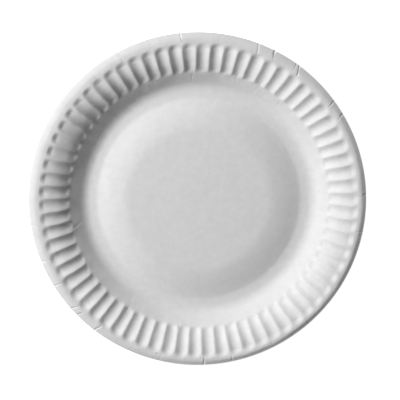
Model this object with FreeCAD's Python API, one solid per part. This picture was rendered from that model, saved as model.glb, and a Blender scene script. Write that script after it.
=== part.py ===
"""A round paper plate, 23 cm across: one pressed sheet of paperboard.

The sheet has a slightly crowned panel in the middle with a rounded shoulder, a narrow flat foot ring that
it stands on, a sloping wall, a rim pressed into seventy grooves with a ridge between each two, and a plain
lip that turns down to the cut edge. The origin is at the middle of the foot ring's underside, +Z is up,
and one ridge lies along +X. Lengths are in mm and angles in degrees.
"""
import FreeCAD
import Part
import math
import os

NODE = "fluted_plate"

# The driving sizes: alias, value and meaning. Widths are measured along the radius.
SIZES = [
    ("plate_diameter", 230.0, "across the cut edge of the lip"),
    ("sheet_thickness", 0.45, "thickness of the paperboard"),
    ("lip_width", 9.0, "from the rim to the cut edge"),
    ("lip_angle", 20.0, "how steeply the lip falls at its cut edge"),
    ("crest_width", 4.4, "from the rim to the lip's highest line"),
    ("bend_width", 2.2, "from the lip's highest line to the end of its bend"),
    ("bend_angle", 17.0, "how steeply the lip falls at the end of its bend"),
    ("rim_width", 14.0, "from the top of the wall to the lip"),
    ("rim_angle", 13.5, "how steeply the rim rises where it meets the lip"),
    ("wall_width", 10.5, "straight part of the wall"),
    ("wall_angle", 35.0, "how steeply the wall rises"),
    ("trough_radius", 12.5, "bend on each side of the foot ring"),
    ("foot_width", 3.0, "flat ring that the plate stands on"),
    ("shoulder_angle", 14.0, "how steeply the panel's shoulder falls to the foot ring"),
    ("slope_width", 3.5, "straight part of the panel's shoulder"),
    ("shoulder_width", 15.5, "bend of the panel's shoulder"),
    ("crown_angle", 5.0, "how steeply the crowned panel falls where its shoulder starts"),
    ("flute_count", 70, "grooves round the rim"),
    ("flute_descent", 4.5, "how far down the wall the grooves start"),
    ("flute_depth", 1.35, "from ridge to groove floor at the outer end of the rim"),
    ("flute_rise", 0.5, "how far a ridge stands above the plain sheet at its inner end"),
    ("flute_opening", 2.6, "length over which a groove deepens at its inner end"),
    ("flute_closing", 4.3, "length over which a groove ends in the lip"),
    ("flute_overrun", 3.3, "how far the grooves run past the rim into the lip"),
]

# The most degrees that the rim's slope may change along one ruled strip of a groove.
STRIP_TURN = 9.5

ORIGIN = FreeCAD.Vector(0, 0, 0)
UP = FreeCAD.Vector(0, 0, 1)
JOIN_TOLERANCE = 1e-4


def fill_sheet(doc):
    """Puts each driving size in a cell that has its alias, with its meaning beside it."""
    sheet = doc.addObject("Spreadsheet::Sheet", "sizes")
    for row, (alias, value, meaning) in enumerate(SIZES, start=1):
        sheet.set(f"A{row}", str(value))
        sheet.setAlias(f"A{row}", alias)
        sheet.set(f"B{row}", meaning)
    doc.recompute()
    return sheet


class Section:
    """The upper face of the plain sheet, cut by a plane through the axis.

    Stations run outwards, each with a radius and a slope angle. Between two stations the section is the
    arc that has their slopes, or a line where the slopes are the same, so that it never has a kink.
    """

    def __init__(self, s):
        wall = math.radians(s["wall_angle"])
        shoulder = math.radians(s["shoulder_angle"])
        self.edge = s["plate_diameter"] / 2
        self.rim_end = self.edge - s["lip_width"]
        wall_end = self.rim_end - s["rim_width"]
        self.flutes_start = wall_end - s["flute_descent"]
        wall_start = wall_end - s["wall_width"]
        foot_end = wall_start - s["trough_radius"] * math.sin(wall)
        foot_start = foot_end - s["foot_width"]
        slope_end = foot_start - s["trough_radius"] * math.sin(shoulder)
        slope_start = slope_end - s["slope_width"]
        panel_end = slope_start - s["shoulder_width"]
        crest = self.rim_end + s["crest_width"]
        self.stations = [
            (0.0, 0.0),
            (panel_end, -math.radians(s["crown_angle"])),
            (slope_start, -shoulder),
            (slope_end, -shoulder),
            (foot_start, 0.0),
            (foot_end, 0.0),
            (wall_start, wall),
            (wall_end, wall),
            (self.rim_end, math.radians(s["rim_angle"])),
            (crest, 0.0),
            (crest + s["bend_width"], -math.radians(s["bend_angle"])),
            (self.edge, -math.radians(s["lip_angle"])),
        ]
        climbs = [rise(start, end, end[0])[0] for start, end in zip(self.stations, self.stations[1:])]
        foot = self.stations.index((foot_start, 0.0))
        panel_height = s["sheet_thickness"] - sum(climbs[:foot])
        self.heights = [panel_height + sum(climbs[:i]) for i in range(len(self.stations))]

    def at(self, r):
        """Height and slope angle at radius r."""
        index = max(i for i, (start, angle) in enumerate(self.stations[:-1]) if start <= r)
        climb, angle = rise(self.stations[index], self.stations[index + 1], r)
        return self.heights[index] + climb, angle

    def point(self, r, depth):
        """The point that lies depth below the upper face at radius r, square to the sheet."""
        z, angle = self.at(r)
        return FreeCAD.Vector(r + depth * math.sin(angle), 0, z - depth * math.cos(angle))

    def edges(self, first, last, depth):
        """The section's edges between two radii, on the face that lies depth below the upper one."""
        made = []
        for start, end in zip(self.stations, self.stations[1:]):
            low, high = max(start[0], first), min(end[0], last)
            if high - low < JOIN_TOLERANCE:
                continue
            points = [self.point(r, depth) for r in (low, (low + high) / 2, high)]
            if start[1] == end[1]:
                made.append(Part.LineSegment(points[0], points[2]).toShape())
            else:
                made.append(Part.Arc(*points).toShape())
        return made


def rise(start, end, r):
    """How far the stretch between two stations has climbed at radius r, and its slope angle there."""
    (r0, angle0), (r1, angle1) = start, end
    if angle0 == angle1:
        return (r - r0) * math.tan(angle0), angle0
    radius = (r1 - r0) / (math.sin(angle0) - math.sin(angle1))
    angle = math.asin(math.sin(angle0) - (r - r0) / radius)
    return radius * (math.cos(angle) - math.cos(angle0)), angle


def spaced(section, first, last):
    """Evenly spaced radii from first to last, close enough for ruled strips between them."""
    turn = math.degrees(abs(section.at(first)[1] - section.at(last)[1]))
    count = max(1, math.ceil(turn / STRIP_TURN))
    return [first + (last - first) * i / count for i in range(count + 1)]


def groove_rows(s, section):
    """Radius, ridge height and groove depth of each row across a groove, from the wall to the lip.

    The ridge height is over the plain sheet, and the depth is from the ridge to the groove's floor.
    """
    opened = section.flutes_start + s["flute_opening"]
    end = section.rim_end + s["flute_overrun"]
    closing = end - s["flute_closing"]
    rows = [(section.flutes_start, 0.0, 0.0)]
    for r in spaced(section, opened, closing):
        height = s["flute_rise"] * (end - r) / (end - opened)
        rows.append((r, height, s["flute_depth"] * r / section.rim_end))
    last_height, deepest = rows[-1][1:]
    for r in spaced(section, closing, end)[1:]:
        left = (end - r) / (end - closing)
        rows.append((r, last_height * left, deepest * left))
    return rows


def row_across(s, ridge, depth):
    """The curve from one ridge to the next with the groove's floor half way, as one conic arc.

    Without depth it is an exact arc round the axis, so that it meets the plain sheet.
    """
    half_pitch = math.pi / int(s["flute_count"])
    weight = math.cos(half_pitch)
    pole = FreeCAD.Vector(ridge.x, ridge.x * math.tan(half_pitch), ridge.z - depth * (1 + weight) / weight)
    next_ridge = FreeCAD.Rotation(UP, math.degrees(2 * half_pitch)).multVec(ridge)
    curve = Part.BSplineCurve()
    curve.buildFromPolesMultsKnots([ridge, pole, next_ridge], [3, 3], [0, 1], False, 2, [1, weight, 1])
    return curve.toShape()


def groove_faces(s, section, depth_below):
    """The faces of one groove, ruled from each row across it to the next row out."""
    curves = []
    for r, height, depth in groove_rows(s, section):
        ridge = section.point(r, depth_below) + UP * height
        curves.append(row_across(s, ridge, depth))
    return [Part.makeRuledSurface(inner, outer) for inner, outer in zip(curves, curves[1:])]


def flutes(s, section, depth_below):
    """All the grooves of one side of the sheet, sewn together."""
    groove = groove_faces(s, section, depth_below)
    count = int(s["flute_count"])
    faces = []
    for i in range(count):
        for face in groove:
            turned = face.copy()
            turned.rotate(ORIGIN, UP, 360.0 * i / count)
            faces += turned.Faces
    shell = Part.makeShell(faces)
    shell.sewShape()
    return shell


def swept(edges):
    """The faces that edges sweep in a full turn about the axis."""
    return [edge.revolve(ORIGIN, UP, 360.0).Faces[0] for edge in edges]


def side_faces(s, section, depth_below):
    """The faces of one side of the sheet, with the rings beside the grooves split at the grooves' ends."""
    middle = swept(section.edges(0.0, section.flutes_start, depth_below))
    lip = swept(section.edges(section.rim_end + s["flute_overrun"], section.edge, depth_below))
    grooves = flutes(s, section, depth_below)
    joined = grooves.multiFuse([middle[-1], lip[0]], JOIN_TOLERANCE)
    return middle[:-1] + joined.Faces + lip[1:]


def plate_solid(s):
    section = Section(s)
    thickness = s["sheet_thickness"]
    faces = side_faces(s, section, 0.0) + side_faces(s, section, thickness)
    cut_edge = Part.LineSegment(section.point(section.edge, 0.0), section.point(section.edge, thickness))
    faces += swept([cut_edge.toShape()])
    shell = Part.makeShell(faces)
    shell.sewShape()
    solid = Part.makeSolid(shell)
    if solid.Volume < 0:
        solid.reverse()
    return solid


def main():
    doc = FreeCAD.newDocument("paper_plate")
    sheet = fill_sheet(doc)
    s = {alias: float(sheet.get(alias)) for alias, value, meaning in SIZES}
    plate = doc.addObject("Part::Feature", NODE)
    plate.Label = NODE
    plate.Shape = plate_solid(s)
    plate.Placement = FreeCAD.Placement()
    doc.recompute()
    for item in doc.Objects:
        if "Invalid" in item.State or "Error" in item.State:
            raise RuntimeError(f"{item.Label} did not compute: {item.State}")
    if plate.Shape.isNull() or not plate.Shape.isValid():
        raise RuntimeError("the plate's shape is not valid")
    os.makedirs("parts", exist_ok=True)
    plate.Shape.exportStep(f"parts/{NODE}.step")


main()
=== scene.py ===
"""A white paper plate with a fluted rim, lying on a pale floor.

The plate is one sheet of paperboard. One flute's wedge of it is modelled from a section, pressed and copied
round the axis, the flat panel is filled in, the small faults of pressed board are added, and the sheet gets
its thickness last. Lengths are in metres and angles in radians.
"""
import bmesh
import bpy
import math
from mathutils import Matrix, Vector


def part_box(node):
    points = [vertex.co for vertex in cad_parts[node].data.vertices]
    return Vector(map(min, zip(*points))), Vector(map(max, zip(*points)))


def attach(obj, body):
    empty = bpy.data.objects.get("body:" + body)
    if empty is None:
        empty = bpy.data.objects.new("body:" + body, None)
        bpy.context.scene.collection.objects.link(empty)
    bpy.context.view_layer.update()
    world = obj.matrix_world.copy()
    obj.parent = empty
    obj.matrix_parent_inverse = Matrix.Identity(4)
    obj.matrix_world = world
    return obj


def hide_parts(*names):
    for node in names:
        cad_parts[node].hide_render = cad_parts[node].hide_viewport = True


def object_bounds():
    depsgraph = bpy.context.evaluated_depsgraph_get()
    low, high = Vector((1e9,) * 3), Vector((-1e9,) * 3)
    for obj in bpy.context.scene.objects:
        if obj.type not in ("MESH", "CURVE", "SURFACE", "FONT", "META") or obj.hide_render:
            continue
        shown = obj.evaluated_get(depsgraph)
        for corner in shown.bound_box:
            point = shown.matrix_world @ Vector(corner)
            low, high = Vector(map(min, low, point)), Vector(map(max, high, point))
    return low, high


bl_info = {
    "name": "Paper Plate",
    "version": (1, 0, 0),
    "blender": (4, 5, 0),
    "location": "3D View > Sidebar > Plate",
    "description": "Models a pressed paper plate with a fluted rim and lights it on a pale floor",
    "category": "Add Mesh",
}

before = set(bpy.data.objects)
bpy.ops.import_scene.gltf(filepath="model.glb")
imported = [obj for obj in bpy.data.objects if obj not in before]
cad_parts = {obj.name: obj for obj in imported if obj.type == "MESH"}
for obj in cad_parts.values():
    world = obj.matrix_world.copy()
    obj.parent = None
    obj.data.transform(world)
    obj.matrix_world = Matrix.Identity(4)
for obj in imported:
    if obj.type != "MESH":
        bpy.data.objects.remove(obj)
cad_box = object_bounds()
MM = 0.001
PLATE = "fluted_plate"
FULL_TURN = 2 * math.pi
# Vertices closer than this are one.
MERGE_GAP = 0.02 * MM
# How far the first ridge is turned in the picture, counter-clockwise from its right.
TURN_IN_PICTURE = math.radians(3.74)
# The plate's width as a share of the picture's.
PLATE_IN_PICTURE = 0.84375


class PlateSizes(bpy.types.PropertyGroup):
    """The plate's sizes, which follow those of the solid that it stands for."""

    diameter: bpy.props.FloatProperty(
        name="Diameter", description="Across the cut edge of the lip", unit="LENGTH",
        default=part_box(PLATE)[1][0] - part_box(PLATE)[0][0])
    thickness: bpy.props.FloatProperty(
        name="Thickness", description="Thickness of the paperboard", unit="LENGTH", default=0.45 * MM)
    lip_width: bpy.props.FloatProperty(
        name="Lip width", description="From the rim to the cut edge", unit="LENGTH", default=9.0 * MM)
    crest_width: bpy.props.FloatProperty(
        name="Crest width", description="From the rim to the lip's highest line", unit="LENGTH",
        default=4.4 * MM)
    bend_width: bpy.props.FloatProperty(
        name="Bend width", description="From the lip's highest line to where it falls nearly straight",
        unit="LENGTH", default=2.2 * MM)
    bend_angle: bpy.props.FloatProperty(
        name="Bend angle", description="How steeply the lip falls after its bend", subtype="ANGLE",
        default=math.radians(17))
    lip_angle: bpy.props.FloatProperty(
        name="Lip angle", description="How steeply the lip falls at its cut edge", subtype="ANGLE",
        default=math.radians(20))
    rim_width: bpy.props.FloatProperty(
        name="Rim width", description="From the top of the wall to the lip", unit="LENGTH", default=14.0 * MM)
    rim_angle: bpy.props.FloatProperty(
        name="Rim angle", description="How steeply the rim rises where it meets the lip", subtype="ANGLE",
        default=math.radians(12.5))
    wall_width: bpy.props.FloatProperty(
        name="Wall width", description="Straight part of the wall", unit="LENGTH", default=10.5 * MM)
    wall_angle: bpy.props.FloatProperty(
        name="Wall angle", description="How steeply the wall rises", subtype="ANGLE",
        default=math.radians(35))
    flutes_down_wall: bpy.props.FloatProperty(
        name="Flutes down wall", description="How far down the wall the grooves start", unit="LENGTH",
        default=4.3 * MM)
    trough_radius: bpy.props.FloatProperty(
        name="Trough radius", description="Bend on each side of the foot ring", unit="LENGTH",
        default=12.5 * MM)
    foot_width: bpy.props.FloatProperty(
        name="Foot width", description="Flat ring that the plate stands on", unit="LENGTH", default=3.0 * MM)
    shoulder_angle: bpy.props.FloatProperty(
        name="Shoulder angle", description="How steeply the panel's shoulder falls to the foot ring",
        subtype="ANGLE", default=math.radians(14))
    slope_width: bpy.props.FloatProperty(
        name="Slope width", description="Straight part of the panel's shoulder", unit="LENGTH",
        default=3.5 * MM)
    shoulder_width: bpy.props.FloatProperty(
        name="Shoulder width", description="Bend of the panel's shoulder", unit="LENGTH", default=15.5 * MM)
    crown: bpy.props.FloatProperty(
        name="Crown", description="How far the panel bulges up in its middle", unit="LENGTH",
        default=2.15 * MM)
    press_shift: bpy.props.FloatVectorProperty(
        name="Press shift", description="How far the pressing lies off the middle of the cut edge",
        unit="LENGTH", size=2, default=(0.86 * MM, -1.26 * MM))


class FluteSizes(bpy.types.PropertyGroup):
    """The grooves that the press leaves in the rim."""

    count: bpy.props.IntProperty(name="Flutes", description="Grooves round the rim", default=70, min=3)
    depth: bpy.props.FloatProperty(
        name="Depth", description="From ridge to groove floor at the outer end of the rim", unit="LENGTH",
        default=1.45 * MM)
    ridge_share: bpy.props.FloatProperty(
        name="Ridge share", description="Share of the depth by which ridges stand above the wall's line",
        subtype="FACTOR", default=0.45, min=0.0, max=1.0)
    opening: bpy.props.FloatProperty(
        name="Opening", description="Length over which a groove deepens at its inner end", unit="LENGTH",
        default=3.2 * MM)
    closing: bpy.props.FloatProperty(
        name="Closing", description="Length over which a groove ends in the lip", unit="LENGTH",
        default=3.7 * MM)
    overrun: bpy.props.FloatProperty(
        name="Overrun", description="How far the grooves run past the rim into the lip", unit="LENGTH",
        default=3.4 * MM)
    arch: bpy.props.FloatProperty(
        name="Arch", description="How much further out a groove's middle ends than its sides do",
        unit="LENGTH", default=1.6 * MM)
    ridge_softness: bpy.props.FloatProperty(
        name="Ridge softness", description="Share of half a pitch over which a ridge is rounded",
        subtype="FACTOR", default=0.25, min=0.01, max=1.0)


class PaperLook(bpy.types.PropertyGroup):
    """Colours of the board and the studio."""

    board: bpy.props.StringProperty(name="Board", description="Board colour as sRGB hex", default="EAEAEA")
    board_thin: bpy.props.StringProperty(
        name="Thin fibre", description="Board colour where the fibres lie thin, as sRGB hex",
        default="D5D5D5")
    floor: bpy.props.StringProperty(name="Floor", description="Floor colour as sRGB hex", default="F4F4F4")


def sizes():
    return bpy.context.scene.plate_sizes


def flutes():
    return bpy.context.scene.plate_flutes


def look():
    return bpy.context.scene.plate_look


class Section:
    """The upper face of the plain sheet as seen in a cut through the axis.

    Stations run outwards, each with a radius and a slope. Between two stations the section is the arc that
    has their slopes, or a line where the slopes are the same.
    """

    def __init__(self, size):
        self.edge = size.diameter / 2
        self.rim_end = self.edge - size.lip_width
        self.bend_end = self.rim_end + size.crest_width + size.bend_width
        self.wall_end = self.rim_end - size.rim_width
        self.wall_start = self.wall_end - size.wall_width
        self.flutes_start = self.wall_end - size.flutes_down_wall
        self.foot_end = self.wall_start - size.trough_radius * math.sin(size.wall_angle)
        self.foot_start = self.foot_end - size.foot_width
        self.slope_end = self.foot_start - size.trough_radius * math.sin(size.shoulder_angle)
        self.slope_start = self.slope_end - size.slope_width
        self.panel_end = self.slope_start - size.shoulder_width
        self.stations = [
            (self.panel_end, -2 * math.atan(size.crown / self.panel_end)),
            (self.slope_start, -size.shoulder_angle),
            (self.slope_end, -size.shoulder_angle),
            (self.foot_start, 0.0),
            (self.foot_end, 0.0),
            (self.wall_start, size.wall_angle),
            (self.wall_end, size.wall_angle),
            (self.rim_end, size.rim_angle),
            (self.rim_end + size.crest_width, 0.0),
            (self.bend_end, -size.bend_angle),
            (self.edge, -size.lip_angle),
        ]
        climbs = [self.climb(i, self.stations[i + 1][0]) for i in range(len(self.stations) - 1)]
        foot = self.stations.index((self.foot_start, 0.0))
        panel_height = size.thickness - sum(climbs[:foot])
        self.heights = [panel_height + sum(climbs[:i]) for i in range(len(self.stations))]

    def climb(self, index, r):
        """How far the stretch that starts at a station has climbed at radius r."""
        (r0, angle0), (r1, angle1) = self.stations[index], self.stations[index + 1]
        if angle0 == angle1:
            return (r - r0) * math.tan(angle0)
        bend = (r1 - r0) / (math.sin(angle0) - math.sin(angle1))
        angle = math.asin(math.sin(angle0) - (r - r0) / bend)
        return bend * (math.cos(angle) - math.cos(angle0))

    def height(self, r):
        index = max(i for i, (start, angle) in enumerate(self.stations[:-1]) if start <= r + 1e-9)
        return self.heights[index] + self.climb(index, r)


def groove_end(section, flute):
    """Radius at which the grooves end in the lip."""
    return section.rim_end + flute.overrun


def ring_radii(section, flute):
    """Radii of the rings of vertices, close together where the sheet bends."""
    opened = section.flutes_start + flute.opening
    closing = groove_end(section, flute) - flute.closing
    # Each stretch runs to a radius in a number of steps.
    stretches = [
        (section.slope_start, 5),
        (section.slope_end, 1),
        (section.foot_start, 3),
        (section.foot_end, 1),
        (section.wall_start, 5),
        (section.flutes_start, 3),
        (opened, 8),
        (closing - flute.arch, 9),
        (groove_end(section, flute), 12),
        (section.bend_end, 6),
        (section.edge, 3),
    ]
    radii = [section.panel_end]
    for end, steps in stretches:
        start = radii[-1]
        radii += [start + (end - start) * i / steps for i in range(1, steps + 1)]
    return radii


def ease(share):
    """Rises from 0 to 1 with level ends."""
    share = min(1.0, max(0.0, share))
    return share * share * (3 - 2 * share)


def ramp(share, corner=0.18):
    """Rises from 0 to 1 in a straight line with a rounded corner at each end."""
    if share > 0.5:
        return 1 - ramp(1 - share, corner)
    share = max(0.0, share)
    if share < corner:
        return share * share / (2 * corner * (1 - corner))
    return (share - corner / 2) / (1 - corner)


def groove_depth(section, flute, r, phase):
    """How deep the press pushes the sheet at radius r, at a phase of 0 or 1 on the ridges.

    On the ridges it is less than nothing, because they stand up from the sheet, most of all near the wall.
    """
    least_standing, standing_loss = 0.1, 0.8
    from_ridge = 1 - abs(2 * phase - 1)
    soft = flute.ridge_softness
    rounded = (math.hypot(from_ridge, soft) - soft) / (math.hypot(1, soft) - soft)
    across = rounded * (2 - rounded)
    along = (r - section.flutes_start) / (section.rim_end - section.flutes_start)
    standing = flute.ridge_share * max(least_standing, 1 - standing_loss * along)
    shorter = flute.arch * (1 - from_ridge) ** 2
    opening = ease((r - section.flutes_start) / flute.opening)
    closing = ramp((groove_end(section, flute) - shorter - r) / flute.closing)
    return flute.depth * r / section.rim_end * (across - standing) * opening * closing


def enter_edit(piece):
    bpy.ops.object.select_all(action="DESELECT")
    bpy.context.view_layer.objects.active = piece
    piece.select_set(True)
    bpy.ops.object.mode_set(mode="EDIT")
    bpy.ops.mesh.select_mode(type="VERT")


def select_points(piece, wanted):
    """In edit mode, selects only the vertices whose place is wanted."""
    bpy.ops.mesh.select_all(action="DESELECT")
    mesh = bmesh.from_edit_mesh(piece.data)
    for vert in mesh.verts:
        vert.select_set(wanted(vert.co))
    mesh.select_flush(True)
    bmesh.update_edit_mesh(piece.data)


def lift(distance):
    bpy.ops.transform.translate(value=(0, 0, distance))


def apply_modifier(piece, kind, **settings):
    modifier = piece.modifiers.new(kind.lower(), kind)
    for key, value in settings.items():
        setattr(modifier, key, value)
    bpy.ops.object.mode_set(mode="OBJECT")
    bpy.ops.object.modifier_apply(modifier=modifier.name)


def model_wedge(section, flute):
    """One flute's wedge of the plain sheet: its section, drawn by extrusion and spun to the next ridge."""
    radii = ring_radii(section, flute)
    first = (radii[0], 0, section.height(radii[0]))
    bpy.ops.mesh.primitive_plane_add(size=MM, location=(0, 0, 0))
    wedge = bpy.context.active_object
    enter_edit(wedge)
    bpy.ops.mesh.select_all(action="SELECT")
    bpy.ops.mesh.merge(type="CENTER")
    bpy.ops.transform.translate(value=first)
    for inner, outer in zip(radii, radii[1:]):
        step = (outer - inner, 0, section.height(outer) - section.height(inner))
        bpy.ops.mesh.extrude_region_move(TRANSFORM_OT_translate={"value": step})
    bpy.ops.mesh.select_all(action="SELECT")
    pitch = FULL_TURN / flute.count
    for before, after in zip(column_phases(), column_phases()[1:]):
        bpy.ops.mesh.spin(steps=1, angle=(after - before) * pitch, center=(0, 0, 0), axis=(0, 0, 1))
    return wedge


def column_phases():
    """Phases of the columns across a flute, crowded towards the ridges, where the sheet bends most."""
    columns = 10
    return [(1 - math.cos(math.pi * i / columns)) / 2 for i in range(columns + 1)]


def press_groove(wedge, section, flute):
    """Pushes the wedge's points down to the groove's floor, and up on the ridges."""
    pitch = FULL_TURN / flute.count
    least_move = 0.001 * MM
    mesh = bmesh.from_edit_mesh(wedge.data)
    depths = {}
    for vert in mesh.verts:
        r = math.hypot(vert.co.x, vert.co.y)
        phase = abs(math.atan2(vert.co.y, vert.co.x)) / pitch
        depth = groove_depth(section, flute, r, min(1.0, phase))
        if abs(depth) > least_move:
            depths[vert.index] = depth
    for index, depth in depths.items():
        bpy.ops.mesh.select_all(action="DESELECT")
        mesh = bmesh.from_edit_mesh(wedge.data)
        mesh.verts.ensure_lookup_table()
        mesh.verts[index].select_set(True)
        bmesh.update_edit_mesh(wedge.data)
        lift(-depth)


def copy_round(piece, count):
    """Copies the wedge round the axis and joins the copies."""
    bpy.ops.mesh.select_all(action="SELECT")
    turn = FULL_TURN * (count - 1) / count
    bpy.ops.mesh.spin(steps=count - 1, dupli=True, angle=turn, center=(0, 0, 0), axis=(0, 0, 1))
    bpy.ops.mesh.select_all(action="SELECT")
    bpy.ops.mesh.remove_doubles(threshold=MERGE_GAP)


def fill_panel(piece, section, flute, crown):
    """Closes the middle with a coarser disc, bridges it to the flutes' first ring and crowns it."""
    disc_share = 0.94
    inner = section.panel_end * disc_share
    height = section.height(section.panel_end)
    bpy.ops.mesh.select_all(action="DESELECT")
    bpy.ops.mesh.primitive_circle_add(vertices=flute.count * 2, radius=inner, location=(0, 0, height))
    bpy.ops.mesh.fill_grid()
    bpy.ops.mesh.flip_normals()
    near = 0.01 * MM
    select_points(piece, lambda co: inner - near < math.hypot(co.x, co.y) < section.panel_end + near)
    bpy.ops.mesh.bridge_edge_loops()
    bpy.ops.mesh.select_all(action="SELECT")
    bpy.ops.mesh.remove_doubles(threshold=MERGE_GAP)
    bpy.ops.mesh.select_all(action="SELECT")
    bpy.ops.mesh.normals_make_consistent(inside=False)
    select_points(piece, lambda co: math.hypot(co.x, co.y) < near)
    bpy.ops.transform.translate(
        value=(0, 0, crown), use_proportional_edit=True, proportional_edit_falloff="INVERSE_SQUARE",
        proportional_size=section.panel_end)


def shift_pressing(piece, section, flute, shift):
    """Moves all that is pressed off the middle of the cut edge, and the lip takes up the difference."""
    pressed_end = groove_end(section, flute)
    select_points(piece, lambda co: math.hypot(co.x, co.y) < pressed_end)
    bpy.ops.transform.translate(
        value=(*shift, 0), use_proportional_edit=True, proportional_edit_falloff="SMOOTH",
        proportional_size=section.edge - pressed_end)


# Pleats that the press folds into the lip: angle in the picture in degrees, depth in mm, lean in degrees.
LIP_PLEATS = [
    (31, 0.25, 4), (36.5, 0.3, -8), (53, 0.45, 10), (54.6, 0.3, -4), (63, 0.45, 3), (69, 0.2, 0),
    (96, 0.3, 2), (107, 0.2, -5), (118, 0.2, 6), (129, 0.15, 0), (188.7, 0.25, -8), (201.5, 0.2, 5),
    (211, 0.3, 8), (221, 0.4, -6), (224, 0.35, 4), (232, 0.25, 0), (245.6, 0.25, 7), (254.7, 0.3, -3),
    (256.5, 0.2, 5), (266, 0.25, 0), (272, 0.5, 2), (282, 0.25, -7), (286.5, 0.35, 3), (297, 0.4, -2),
    (305, 0.25, 5), (312, 0.3, -4), (327, 0.25, 3), (338, 0.2, 0), (349, 0.25, -6), (2, 0.3, 4), (14, 0.2, 0),
]

# Creases where the wall was drawn in, below the grooves, in the same terms.
WALL_CREASES = [
    (51, 0.14, 8), (62.5, 0.14, -10), (73, 0.14, 5), (92.7, 0.18, -12), (112.9, 0.14, 10), (192.7, 0.2, 25),
    (214, 0.1, -8), (237, 0.1, 5), (261, 0.18, 3), (277.5, 0.1, -6),
]


def polar(r, angle):
    return Vector((r * math.cos(angle), r * math.sin(angle), 0.0))


def fold_crease(piece, angle, inner, outer, depth, lean):
    """Cuts a narrow valley into the sheet along a nearly radial line.

    Only the faces near the line are cut, and the vertices on its middle cut are lowered.
    """
    half_width = 0.35 * MM
    near = 3 * MM
    on_line = 0.02 * MM
    middle = polar((inner + outer) / 2, angle)
    along = polar(1, angle + lean)
    across = Vector((-along.y, along.x, 0))
    reach = (outer - inner) / 2
    for offset in (-half_width, half_width, 0):
        select_points(piece, lambda co: abs((co - middle).dot(across)) < near
                      and abs((co - middle).xy.dot(along.xy)) < reach + MM)
        bpy.ops.mesh.bisect(plane_co=middle + across * offset, plane_no=across)
    select_points(piece, lambda co: abs((co - middle).xy.dot(across.xy)) < on_line
                  and abs((co - middle).xy.dot(along.xy)) < reach)
    lift(-depth)


def fold_creases(piece, section, flute):
    """The pleats of the lip and the creases of the wall."""
    lip = (groove_end(section, flute) - 0.5 * MM, section.edge + MM)
    wall = (section.wall_start, section.wall_end + 2 * MM)
    for creases, (inner, outer) in ((LIP_PLEATS, lip), (WALL_CREASES, wall)):
        for angle, depth, lean in creases:
            fold_crease(
                piece, math.radians(angle) - TURN_IN_PICTURE, inner, outer, depth * MM, math.radians(lean))


def weigh_points(piece, name, weight):
    """Makes a vertex group whose weights follow the distance from the axis."""
    group = piece.vertex_groups.new(name=name)
    for vert in piece.data.vertices:
        group.add([vert.index], weight(math.hypot(vert.co.x, vert.co.y)), "REPLACE")


def uneven_press(piece, section):
    """Paperboard never takes the die evenly: the flutes wander a little and the panel is faintly wavy."""
    wall_fade, lip_fade, panel_fade = 6 * MM, 8 * MM, 15 * MM
    bpy.ops.object.mode_set(mode="OBJECT")

    def rim_weight(r):
        return ease((r - section.wall_start) / wall_fade) * ease((section.edge - r) / lip_fade)

    def panel_weight(r):
        return ease((section.slope_end - r) / panel_fade)

    weigh_points(piece, "rim", rim_weight)
    weigh_points(piece, "panel", panel_weight)
    wander = bpy.data.textures.new("wander", "CLOUDS")
    wander.cloud_type = "COLOR"
    wander.noise_scale = 14 * MM
    apply_modifier(
        piece, "DISPLACE", texture=wander, direction="RGB_TO_XYZ", texture_coords="LOCAL",
        vertex_group="rim", strength=0.9 * MM, mid_level=0.6)
    waves = bpy.data.textures.new("waves", "CLOUDS")
    waves.noise_scale = 35 * MM
    apply_modifier(
        piece, "DISPLACE", texture=waves, direction="Z", texture_coords="LOCAL",
        vertex_group="panel", strength=0.35 * MM, mid_level=0.5)


def give_thickness(piece, thickness):
    """The sheet grows downwards from its upper face."""
    apply_modifier(
        piece, "SOLIDIFY", thickness=thickness, offset=-1.0, use_even_offset=True, use_quality_normals=True)
    bpy.ops.object.shade_smooth_by_angle(angle=math.radians(60))


def linear(code):
    """An sRGB hex colour as linear RGBA."""
    shares = [int(code[i:i + 2], 16) / 255 for i in (0, 2, 4)]
    return [c / 12.92 if c <= 0.04045 else ((c + 0.055) / 1.055) ** 2.4 for c in shares] + [1.0]


def add_node(tree, kind, settings=None, inputs=None):
    """Adds a node, sets its properties, and sets or links its inputs by name or number."""
    node = tree.nodes.new(kind)
    for key, value in (settings or {}).items():
        setattr(node, key, value)
    for key, value in (inputs or {}).items():
        if isinstance(value, bpy.types.NodeSocket):
            tree.links.new(value, node.inputs[key])
        else:
            node.inputs[key].default_value = value
    return node


def new_material(name):
    material = bpy.data.materials.new(name)
    material.use_nodes = True
    material.node_tree.nodes.clear()
    return material, material.node_tree


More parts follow.
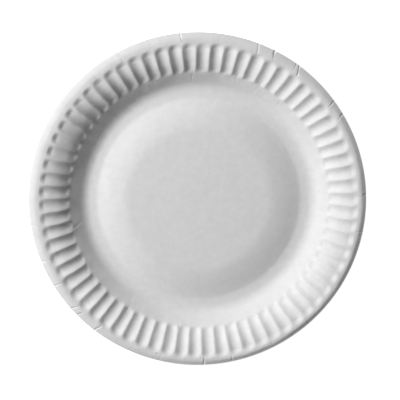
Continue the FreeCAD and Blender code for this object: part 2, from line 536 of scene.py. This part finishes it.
def pressed_paperboard(section, flute):
    """Uncoated bleached paperboard out of a heated die: matt, faintly cloudy, with a fine felt grain."""
    material, tree = new_material("pressed_paperboard")
    place = add_node(tree, "ShaderNodeTexCoord").outputs["Object"]
    # Fibres lie thicker and thinner in clouds of a few millimetres.
    clouds = add_node(tree, "ShaderNodeTexNoise", None, {
        "Vector": place, "Scale": 1 / (5 * MM), "Detail": 4.0, "Roughness": 0.75})
    board = add_node(tree, "ShaderNodeMix", {"data_type": "RGBA"}, {
        0: clouds.outputs["Fac"], 6: linear(look().board_thin), 7: linear(look().board)})
    # The felt grain is finer than this in reality, and is drawn coarse enough to show.
    grain = add_node(tree, "ShaderNodeTexNoise", None, {
        "Vector": place, "Scale": 1 / (1.1 * MM), "Detail": 3.0, "Roughness": 0.6})
    felt = add_node(tree, "ShaderNodeBump", None, {
        "Strength": 0.4, "Distance": 0.15 * MM, "Height": grain.outputs["Fac"]})
    # Fine puckers run across the lip, where the board was squeezed shorter.
    flat_place = add_node(tree, "ShaderNodeVectorMath", {"operation": "MULTIPLY"}, {
        0: place, 1: (1.0, 1.0, 0.0)})
    radius = add_node(tree, "ShaderNodeVectorMath", {"operation": "LENGTH"}, {0: flat_place.outputs[0]})
    direction = add_node(tree, "ShaderNodeVectorMath", {"operation": "NORMALIZE"}, {0: flat_place.outputs[0]})
    spread = add_node(tree, "ShaderNodeVectorMath", {"operation": "SCALE"}, {
        0: direction.outputs[0], "Scale": section.edge / (0.7 * MM)})
    outwards = add_node(tree, "ShaderNodeMath", {"operation": "MULTIPLY"}, {
        0: radius.outputs["Value"], 1: 1 / (6 * MM)})
    rise = add_node(tree, "ShaderNodeCombineXYZ", None, {"Z": outwards.outputs[0]})
    streaks_place = add_node(tree, "ShaderNodeVectorMath", {"operation": "ADD"}, {
        0: spread.outputs[0], 1: rise.outputs[0]})
    streaks = add_node(tree, "ShaderNodeTexNoise", None, {
        "Vector": streaks_place.outputs[0], "Scale": 1.0, "Detail": 2.0})
    on_lip = add_node(tree, "ShaderNodeMapRange", None, {
        "Value": radius.outputs["Value"], "From Min": groove_end(section, flute) - MM,
        "From Max": groove_end(section, flute) + MM})
    puckers = add_node(tree, "ShaderNodeMath", {"operation": "MULTIPLY"}, {
        0: streaks.outputs["Fac"], 1: on_lip.outputs[0]})
    surface = add_node(tree, "ShaderNodeBump", None, {
        "Strength": 0.35, "Distance": 0.3 * MM, "Height": puckers.outputs[0], "Normal": felt.outputs[0]})
    paper = add_node(tree, "ShaderNodeBsdfPrincipled", None, {
        "Base Color": board.outputs[2], "Roughness": 0.88, "IOR": 1.5, "Specular IOR Level": 0.25,
        "Normal": surface.outputs[0]})
    add_node(tree, "ShaderNodeOutputMaterial", None, {"Surface": paper.outputs[0]})
    return material


def studio_floor():
    """A pale sweep that the camera sees as white, apart from the plate's own shadow."""
    material, tree = new_material("studio_floor")
    plain = add_node(tree, "ShaderNodeBsdfDiffuse", None, {"Color": linear(look().floor)})
    path = add_node(tree, "ShaderNodeLightPath")
    glossy = add_node(tree, "ShaderNodeMath", {"operation": "MAXIMUM"}, {
        0: path.outputs["Is Camera Ray"], 1: path.outputs["Is Glossy Ray"]})
    seen = add_node(tree, "ShaderNodeMath", {"operation": "MAXIMUM"}, {
        0: glossy.outputs[0], 1: path.outputs["Is Transmission Ray"]})
    strength = add_node(tree, "ShaderNodeMath", {"operation": "MULTIPLY"}, {0: seen.outputs[0], 1: 0.94})
    glow = add_node(tree, "ShaderNodeEmission", None, {"Strength": strength.outputs[0]})
    both = add_node(tree, "ShaderNodeAddShader", None, {0: plain.outputs[0], 1: glow.outputs[0]})
    add_node(tree, "ShaderNodeOutputMaterial", None, {"Surface": both.outputs[0]})
    return material


class PLATE_OT_model(bpy.types.Operator):
    """Model the pressed sheet of paperboard"""

    bl_idname = "plate.model_plate"
    bl_label = "Model plate"

    def execute(self, context):
        size, flute = sizes(), flutes()
        section = Section(size)
        bpy.ops.object.select_all(action="DESELECT")
        piece = model_wedge(section, flute)
        piece.name = "paper_plate"
        press_groove(piece, section, flute)
        copy_round(piece, flute.count)
        fill_panel(piece, section, flute, size.crown)
        uneven_press(piece, section)
        enter_edit(piece)
        fold_creases(piece, section, flute)
        shift_pressing(piece, section, flute, size.press_shift)
        give_thickness(piece, size.thickness)
        piece.data.materials.append(pressed_paperboard(section, flute))
        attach(piece, "root")
        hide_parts(PLATE)
        return {"FINISHED"}


class PLATE_OT_stage(bpy.types.Operator):
    """Set up the floor, the studio light and the camera"""

    bl_idname = "plate.set_stage"
    bl_label = "Set stage"

    def execute(self, context):
        bpy.ops.mesh.primitive_plane_add(size=6.0, location=(0, 0, 0))
        floor = context.active_object
        floor.name = "floor"
        floor.data.materials.append(studio_floor())
        self.light_studio(context)
        self.place_camera(context)
        context.scene.view_settings.view_transform = "Standard"
        return {"FINISHED"}

    def light_studio(self, context):
        """One soft lamp at the picture's upper left, and a dim even room."""
        azimuth = math.radians(154) - TURN_IN_PICTURE
        elevation = math.radians(35)
        distance = 1.5
        energy_at_one_metre = 12.9
        direction = Vector((
            math.cos(azimuth) * math.cos(elevation), math.sin(azimuth) * math.cos(elevation),
            math.sin(elevation)))
        bpy.ops.object.light_add(type="AREA", location=direction * distance)
        lamp = context.active_object
        lamp.name = "softbox"
        lamp.rotation_euler = (-direction).to_track_quat("-Z", "Y").to_euler()
        lamp.data.size = 0.45
        lamp.data.energy = energy_at_one_metre * distance ** 2
        world = bpy.data.worlds.new("room")
        world.use_nodes = True
        background = world.node_tree.nodes["Background"]
        background.inputs["Color"].default_value = (1.0, 1.0, 1.0, 1.0)
        background.inputs["Strength"].default_value = 0.07
        context.scene.world = world

    def place_camera(self, context):
        """Nearly overhead, tipped a little towards the picture's top, through a long lens."""
        tip = math.radians(9.5)
        distance = 1.5
        sensor = 36
        picture_width = sizes().diameter / PLATE_IN_PICTURE
        off_middle = Vector((1.7 * MM, 0.3 * MM, 0))
        near_rim_top = Vector((0, 0, cad_box[1][2] * 0.9))
        bpy.ops.object.camera_add()
        camera = context.active_object
        camera.name = "camera"
        camera.rotation_mode = "ZXY"
        camera.rotation_euler = (-tip, 0, -TURN_IN_PICTURE)
        turn = camera.rotation_euler.to_matrix()
        aim = turn @ off_middle + near_rim_top
        camera.location = aim + turn @ Vector((0, 0, distance))
        camera.data.sensor_width = sensor
        camera.data.lens = sensor * distance / picture_width
        camera.data.clip_end = 20
        context.scene.camera = camera


class PLATE_PT_panel(bpy.types.Panel):
    """Lists the plate's sizes, its colours and its operators"""

    bl_label = "Paper plate"
    bl_idname = "PLATE_PT_panel"
    bl_space_type = "VIEW_3D"
    bl_region_type = "UI"
    bl_category = "Plate"

    def draw(self, context):
        layout = self.layout
        for group in (sizes(), flutes(), look()):
            for key in group.__annotations__:
                layout.prop(group, key)
        layout.operator(PLATE_OT_model.bl_idname)
        layout.operator(PLATE_OT_stage.bl_idname)


CLASSES = (PlateSizes, FluteSizes, PaperLook, PLATE_OT_model, PLATE_OT_stage, PLATE_PT_panel)


def register():
    for cls in CLASSES:
        bpy.utils.register_class(cls)
    bpy.types.Scene.plate_sizes = bpy.props.PointerProperty(type=PlateSizes)
    bpy.types.Scene.plate_flutes = bpy.props.PointerProperty(type=FluteSizes)
    bpy.types.Scene.plate_look = bpy.props.PointerProperty(type=PaperLook)


def unregister():
    del bpy.types.Scene.plate_look
    del bpy.types.Scene.plate_flutes
    del bpy.types.Scene.plate_sizes
    for cls in reversed(CLASSES):
        bpy.utils.unregister_class(cls)


def main():
    register()
    bpy.ops.plate.model_plate()
    bpy.ops.plate.set_stage()


if __name__ == "__main__":
    main()
